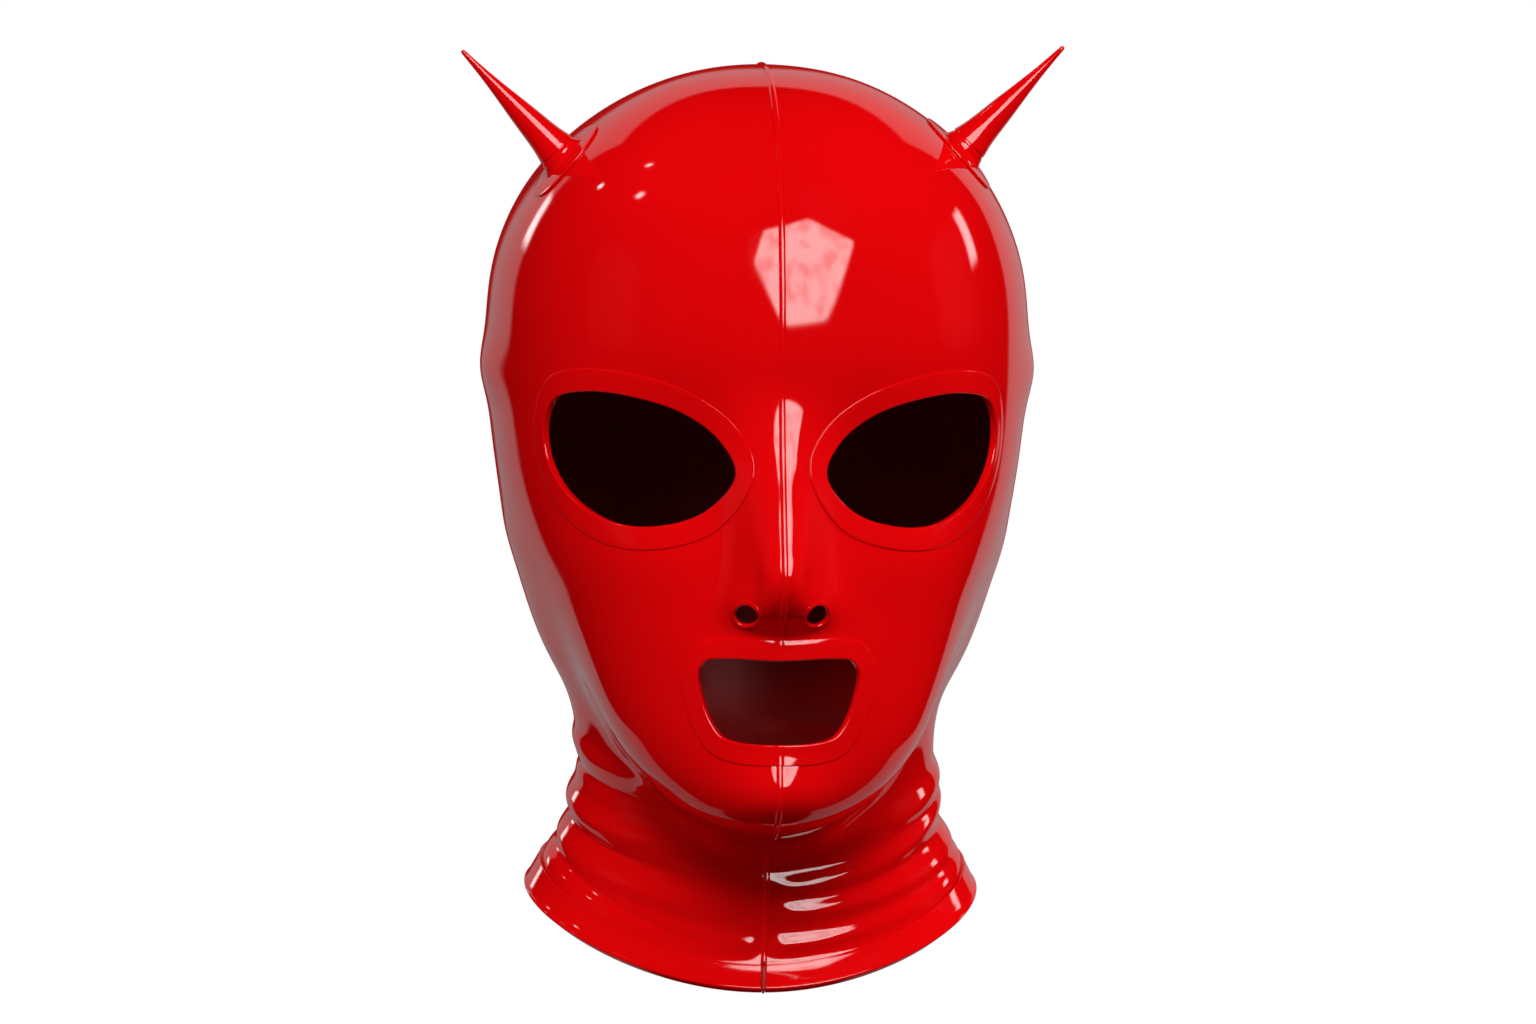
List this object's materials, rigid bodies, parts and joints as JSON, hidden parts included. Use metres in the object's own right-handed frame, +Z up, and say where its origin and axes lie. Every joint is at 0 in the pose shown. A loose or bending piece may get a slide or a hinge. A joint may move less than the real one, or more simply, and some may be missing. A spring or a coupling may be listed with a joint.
{
  "type": "latex devil hood",
  "caption": "Full-head hood of glossy latex with open eyes, mouth and nostrils, rims round the openings, a middle seam, a neck hem and small horns.",
  "frame": {"origin": "the seat inside the crown, where the top of the head meets the hood", "axes": "+Z up, the face towards -Y, +X to the wearer's left"},
  "size_m": [0.1679, 0.2153, 0.2605],
  "materials": {
    "latex": "polished to a high gloss",
    "latex_trim": "polished to a high gloss",
    "horn_latex": "polished to a high gloss"
  },
  "bodies": {
    "root": {"hood_left": "latex", "hood_right": "latex", "seam_crown": "latex_trim", "seam_chin": "latex_trim", "eye_rim_left": "latex_trim", "eye_rim_right": "latex_trim", "mouth_rim": "latex_trim", "hem_left": "latex_trim", "hem_right": "latex_trim", "horn_patch_left": "latex_trim", "horn_patch_right": "latex_trim", "horn_left": "horn_latex", "horn_right": "horn_latex"}
  },
  "joints": []
}
